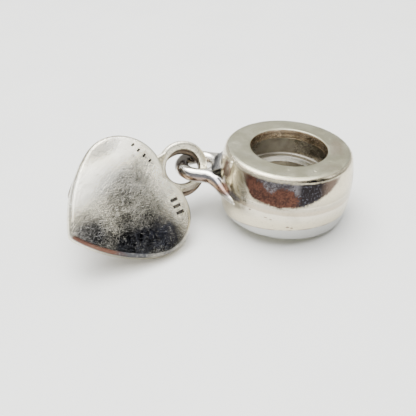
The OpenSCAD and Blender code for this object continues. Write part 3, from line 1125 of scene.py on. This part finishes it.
# Duller metal of the front heart and metal of its hanging loop, and all three tones of the back heart,
# painted darker as shade.
FRONT_DULL, FRONT_LOOP_TONE = (0.6, 0.57, 0.44), (0.97, 0.93, 0.76)
BACK_SHADED_TONES = ((0.34, 0.28, 0.21), (0.17, 0.13, 0.1), (0.13, 0.095, 0.07))

# Tones of a heart's wear, and of its painted light: reflection on the edge and rim, shade on the loop's lower
# arc and hole wall.
SPECK_TONE = (0.16, 0.15, 0.135)
DARK_NICK_TONE, LIGHT_NICK_TONE = (0.13, 0.12, 0.11), (0.6, 0.58, 0.52)
EDGE_REFLECTION_TONE = (0.5, 0.4, 0.28)
LOW_ARC_SHADE = (0.2, 0.15, 0.115)
HOLE_WALL_SHADE = (0.09, 0.065, 0.05)
RIM_REFLECTION_TONE = (0.1, 0.034, 0.02)
PUNCHED_TONE = (0.04, 0.033, 0.03)

# Soft edges of a heart's zones: the loop with its neck, measured back from the loop's middle; the wall of the
# loop's hole, out from its radius and in height; the loop's lower arc; and the plate's edge, in height.
HANGER_BACK = (2.3, 1.6)
HOLE_WALL_OUT, HOLE_WALL_HEIGHT = (0.17, 0.07), (0.21, 0.14)
LOW_ARC, EDGE_HEIGHT = (-1.2, -1.4), (-0.3, -0.62)

# Painted brown reflection on the rim of the front heart's right side: middle of the arc that bounds that
# side, and the rim's soft edges in distance from there, across and along the heart, and in height.
RIM_CENTRE = (7.393, 3.57)
RIM_REACH, RIM_ACROSS, RIM_ALONG, RIM_HEIGHT = (7.95, 8.03), (0.1, -0.15), (2.3, 1.4), (-0.16, -0.06)

# Middle of the punched bars on each side of the centre line, how far around it they lie, and how deep.
PUNCHED_SPOT = (6.6, 2.05)
PUNCHED_REACH, PUNCHED_BELOW = (1.05, 0.97), (0.025, 0.06)


def front_marks(tone, vector, x, y, z, rag, dome):
    """A tone with the front heart's painted reflections, light nicks, painted brown reflection on the rim and
    dark punched bars laid over it.
    """
    # Painted reflections on the face: bright highlights and dark shades.
    tone, _ = with_stains_and_painted_light(tone, vector, x, y, FACE_PAINTED_REFLECTIONS, ramp(z, -0.3, -0.1), PAINTED_REFLECTION_TONES)
    tone = blend(nicks(vector, LIGHT_NICKS) * 0.22, tone, LIGHT_NICK_TONE)
    # Painted brown reflection along the rim of the right side.
    reach = length_of(y - RIM_CENTRE[1], x - RIM_CENTRE[0])
    rim = ramp(reach + rag * 0.15, *RIM_REACH) * ramp(y, *RIM_ACROSS)
    rim *= ramp(x + rag, *RIM_ALONG) * ramp(z, *RIM_HEIGHT)
    tone = blend(rim * 0.85, tone, RIM_REFLECTION_TONE)
    along, across = (x - DOME_MIDDLE) / DOME_ALONG, y / DOME_ACROSS
    below_dome = (along * along + across * across) * -dome + dome - z
    near_bars = ramp(length_of(abs(y) - PUNCHED_SPOT[1], x - PUNCHED_SPOT[0]), *PUNCHED_REACH)
    return blend(ramp(below_dome, *PUNCHED_BELOW) * near_bars * 0.9, tone, PUNCHED_TONE)


def heart_material(name, tones, dullness, loop, lies, marked=False):
    """Silver of a heart. Tones are clean metal, duller metal and the hanging loop's metal, painted darker as
    shade on the back heart.
    """
    clean, dull, loop_tone = tones
    look = bpy.context.scene.pendant_silver
    h = Sizes(bpy.context.scene.pendant_hearts)
    material, tree, shader = new_material(name)
    vector, x, y, z = place_in_mm(tree, *lies)
    face = clouded(vector, clean, dull, look.brown, 1.3, dullness, 0.12)
    rag = unevenness(vector, 3.0, 4.0, 0.6, 0.2, 4.0)

    spot, facing = loop_frame(loop, h.thickness)
    loop_x, loop_y, loop_z = parts_of(turned_back(vector, spot, facing.to_euler("XYZ")))
    hanger = ramp(x + rag * 0.5, *(loop.along - back for back in HANGER_BACK))
    # Painted shade on the wall of the loop's hole.
    shaded_hole_wall = ramp(length_of(loop_x, loop_y), *(loop.hole + out for out in HOLE_WALL_OUT))
    shaded_hole_wall *= ramp(loop_z, *HOLE_WALL_HEIGHT)
    # Painted shade on the loop's lower arc.
    shaded_low_arc = ramp(loop_y + rag * 0.3, *LOW_ARC) * hanger
    tone = blend(hanger * 0.75, face["Colour"], loop_tone)
    tone = blend(shaded_low_arc * 0.8, tone, LOW_ARC_SHADE)

    lines = scratches(vector, HEART_SCRATCHES)
    specks = ramp(noise_of(vector, 11.0, 3.0, 0.6, 0.0, 3.0), 0.58, 0.68)
    dark_nicks = nicks(vector, DARK_NICKS)
    edge = ramp(z, *EDGE_HEIGHT) * (1.0 - hanger)
    tone = blend(lines * 0.3, tone, look.olive)
    tone = blend(specks * 0.6, tone, SPECK_TONE)
    tone = blend(dark_nicks * 0.5, tone, DARK_NICK_TONE)
    # Painted brownish reflection low on the plate's edge and on its back.
    tone = blend(edge * 0.3, tone, EDGE_REFLECTION_TONE)
    if marked:
        tone = front_marks(tone, vector, x, y, z, rag, h.dome)
    # Painted shade on the wall of the loop's hole.
    tone = blend(shaded_hole_wall * 0.9, tone, HOLE_WALL_SHADE)

    rough = face["Dull mask"] * 0.06 + face["Stain mask"] * 0.2
    rough += hanger * 0.24 + specks * 0.12 + lines * 0.12
    fine = noise_of(vector, 8.0, 4.0, 0.65, 0.0, 2.5)
    broad = noise_of(vector, 0.6, 2.0, 0.5, 0.0, 5.5)
    height = fine * 0.7 - lines * 0.4 - specks * 0.4 - dark_nicks * 0.5 + broad * 0.6
    finish_metal(shader, tone, rough + look.polish, height, 0.5)
    return material


# Stage.


# Camera: its place in millimetres, and its right and up directions.
EYE = (2.055, -32.647, 21.062)
RIGHT = (0.9818, 0.1849, -0.0444)
UP = (-0.0725, 0.58, 0.8114)

# Lamp: its place and its width in millimetres.
LAMP_PLACE, LAMP_WIDTH = (-30.0, 30.0, 120.0), 90.0

# Brightness of the sky, and of soft round areas in it: direction, inner and outer angle in degrees, and
# brightness. A later area lies over an earlier one.
SKY_TONE = (0.45, 0.45, 0.44)
SKY_AREAS = (
    ((0.0, 1.0, 0.45), 35, 75, (0.85, 0.85, 0.82)),
    ((-1.0, 0.1, 0.3), 25, 60, (0.8, 0.8, 0.78)),
    ((-0.1, -1.0, 0.3), 20, 50, (1.1, 1.1, 1.08)),
    ((-0.06, 0.1, 1.0), 43, 57, (1.0, 1.0, 0.98)),
    ((-0.06, 0.1, 1.0), 30, 41, (4.6, 4.6, 4.5)),
    ((0.663, -0.093, 0.743), 5, 13, (0.16, 0.16, 0.155)),
    ((0.835, 0.073, 0.545), 5, 14, (1.9, 1.9, 1.85)),
    ((0.727, -0.681, 0.07), 8, 16, (4.0, 4.0, 3.9)),
    ((0.749, -0.468, 0.469), 15, 30, (0.01, 0.01, 0.016)),
)


def floor_material(rgb):
    material, tree, shader = new_material("pale_floor")
    vector = place_in_mm(tree)[0]
    cloud = ramp(noise_of(vector, 0.12, 4.0, 0.55, 0.0, 2.0), 0.35, 0.7)
    feed(shader.inputs["Base Color"], blend(cloud, rgb, [c * 0.97 for c in rgb]))
    shader.inputs["Roughness"].default_value = 0.42
    shader.inputs["Specular IOR Level"].default_value = 0.35
    return material


def make_camera(scene, focal_length):
    lens = bpy.data.cameras.new("camera")
    lens.lens = focal_length
    lens.sensor_width = 36.0
    lens.clip_start = 0.001
    lens.clip_end = 10.0
    camera = bpy.data.objects.new("camera", lens)
    scene.collection.objects.link(camera)
    up = Vector(UP)
    backward = Vector(RIGHT).cross(up).normalized()
    right = up.cross(backward).normalized()
    facing = Matrix((right, up, backward)).transposed().to_4x4()
    camera.matrix_world = Matrix.Translation(Vector(EYE) * MM) @ facing
    scene.camera = camera


def make_floor(z, rgb):
    reach = 900.0
    corners = [(-reach, -reach, z), (reach, -reach, z), (reach, reach, z), (-reach, reach, z)]
    floor = new_piece("floor", corners, [(0, 1, 2, 3)])
    floor.data.materials.append(floor_material(rgb))


def make_sky(scene, brightness):
    world = bpy.data.worlds.new("soft_studio")
    scene.world = world
    world.use_nodes = True
    tree = world.node_tree
    tree.nodes.clear()
    where = add_node(tree, "ShaderNodeTexCoord", {}).outputs["Generated"]
    tone = SKY_TONE
    for direction, inner, outer, rgb in SKY_AREAS:
        nearness = Value(vector_math("DOT_PRODUCT", where, Vector(direction).normalized())["Value"])
        mask = ramp(nearness, math.cos(math.radians(outer)), math.cos(math.radians(inner)))
        tone = blend(mask, tone, rgb)
    back = add_node(tree, "ShaderNodeBackground", {"Color": tone, "Strength": brightness})
    add_node(tree, "ShaderNodeOutputWorld", {"Surface": back.outputs[0]})


def make_lamp(scene, power):
    light = bpy.data.lights.new("soft_lamp", "AREA")
    light.shape = "DISK"
    light.size = LAMP_WIDTH * MM
    light.energy = power
    lamp = bpy.data.objects.new("soft_lamp", light)
    scene.collection.objects.link(lamp)
    lamp.location = Vector(LAMP_PLACE) * MM
    lamp.rotation_euler = (-Vector(LAMP_PLACE)).to_track_quat("-Z", "Y").to_euler()


# Operators.


class PENDANT_OT_bead(bpy.types.Operator):
    """Build the barrel bead with its bail ring and soldered foot"""

    bl_idname = "pendant.make_bead"
    bl_label = "Make bead"

    def execute(self, context):
        b = Sizes(context.scene.pendant_bead)
        bead = new_piece("bead_with_bail", *spun(barrel_section(b), 288))
        hanger = new_piece("hanger", *bail_ring(b))
        skins = (solder_web(b), solder_claw(1), solder_claw(-1))
        fuse(hanger, [new_piece("hanger_part", *skin) for skin in skins])
        blend_skin(hanger, 0.04, 5)
        fuse(bead, [hanger])
        to_line, back = (Matrix.Rotation(way * b.lean_turn, 3, "Z") for way in (1, -1))
        lean = (to_line @ Matrix.Rotation(b.lean, 3, "Y") @ back).to_euler("XYZ")
        settle(bead, (0.0, 0.0, 0.0), lean)
        finish_piece(bead, "carrier_bead", bead_material(lean), 32)
        return {"FINISHED"}


class PENDANT_OT_front_heart(bpy.types.Operator):
    """Build the front heart with its hanging loop"""

    bl_idname = "pendant.make_front_heart"
    bl_label = "Make front heart"

    def execute(self, context):
        tones = (context.scene.pendant_silver.bright, FRONT_DULL, FRONT_LOOP_TONE)
        heart = build_heart("front_heart_drop", 1.0, FRONT_LOOP, FRONT_NECK, FRONT_PLACE, punched=True)
        material = heart_material("front_heart_silver", tones, 0.45, FRONT_LOOP, FRONT_PLACE, marked=True)
        finish_piece(heart, "front_heart", material, 48)
        return {"FINISHED"}


class PENDANT_OT_back_heart(bpy.types.Operator):
    """Build the back heart with its hanging loop"""

    bl_idname = "pendant.make_back_heart"
    bl_label = "Make back heart"

    def execute(self, context):
        scale = context.scene.pendant_hearts.back_scale
        heart = build_heart("back_heart_drop", scale, BACK_LOOP, BACK_NECK, BACK_PLACE)
        # The back heart's tones are painted darker as shade.
        material = heart_material("back_heart_silver", BACK_SHADED_TONES, 0.7, BACK_LOOP, BACK_PLACE)
        finish_piece(heart, "back_heart", material, 48)
        return {"FINISHED"}


class PENDANT_OT_stage(bpy.types.Operator):
    """Build the camera, the plain floor and the soft light"""

    bl_idname = "pendant.make_stage"
    bl_label = "Make stage"

    def execute(self, context):
        s = Sizes(context.scene.pendant_stage)
        make_camera(context.scene, s.lens)
        make_floor(s.floor_height, s.floor_colour)
        make_sky(context.scene, s.sky)
        make_lamp(context.scene, s.lamp_power)
        return {"FINISHED"}


class PENDANT_PT_panel(bpy.types.Panel):
    """Pendant sizes, finishes and build steps"""

    bl_label = "Double heart pendant"
    bl_idname = "PENDANT_PT_panel"
    bl_space_type = "VIEW_3D"
    bl_region_type = "UI"
    bl_category = "Pendant"

    def draw(self, context):
        layout = self.layout
        for attribute, group in GROUPS:
            box = layout.box()
            box.label(text=attribute.replace("pendant_", "").capitalize())
            settings = getattr(context.scene, attribute)
            for prop in group.__annotations__:
                box.prop(settings, prop)
        for operator in OPERATORS:
            layout.operator(operator.bl_idname)


OPERATORS = (PENDANT_OT_stage, PENDANT_OT_bead, PENDANT_OT_front_heart, PENDANT_OT_back_heart)
CLASSES = tuple(group for _, group in GROUPS) + OPERATORS + (PENDANT_PT_panel,)


def register():
    for item in CLASSES:
        bpy.utils.register_class(item)
    for attribute, group in GROUPS:
        setattr(bpy.types.Scene, attribute, PointerProperty(type=group))


def unregister():
    for attribute, _ in GROUPS:
        delattr(bpy.types.Scene, attribute)
    for item in reversed(CLASSES):
        bpy.utils.unregister_class(item)


def main():
    register()
    make_clouded_silver()
    make_hair_scratches()
    make_short_nicks()
    make_ragged_patch()
    bpy.ops.pendant.make_stage()
    bpy.ops.pendant.make_bead()
    bpy.ops.pendant.make_front_heart()
    bpy.ops.pendant.make_back_heart()


if __name__ == "__main__":
    main()
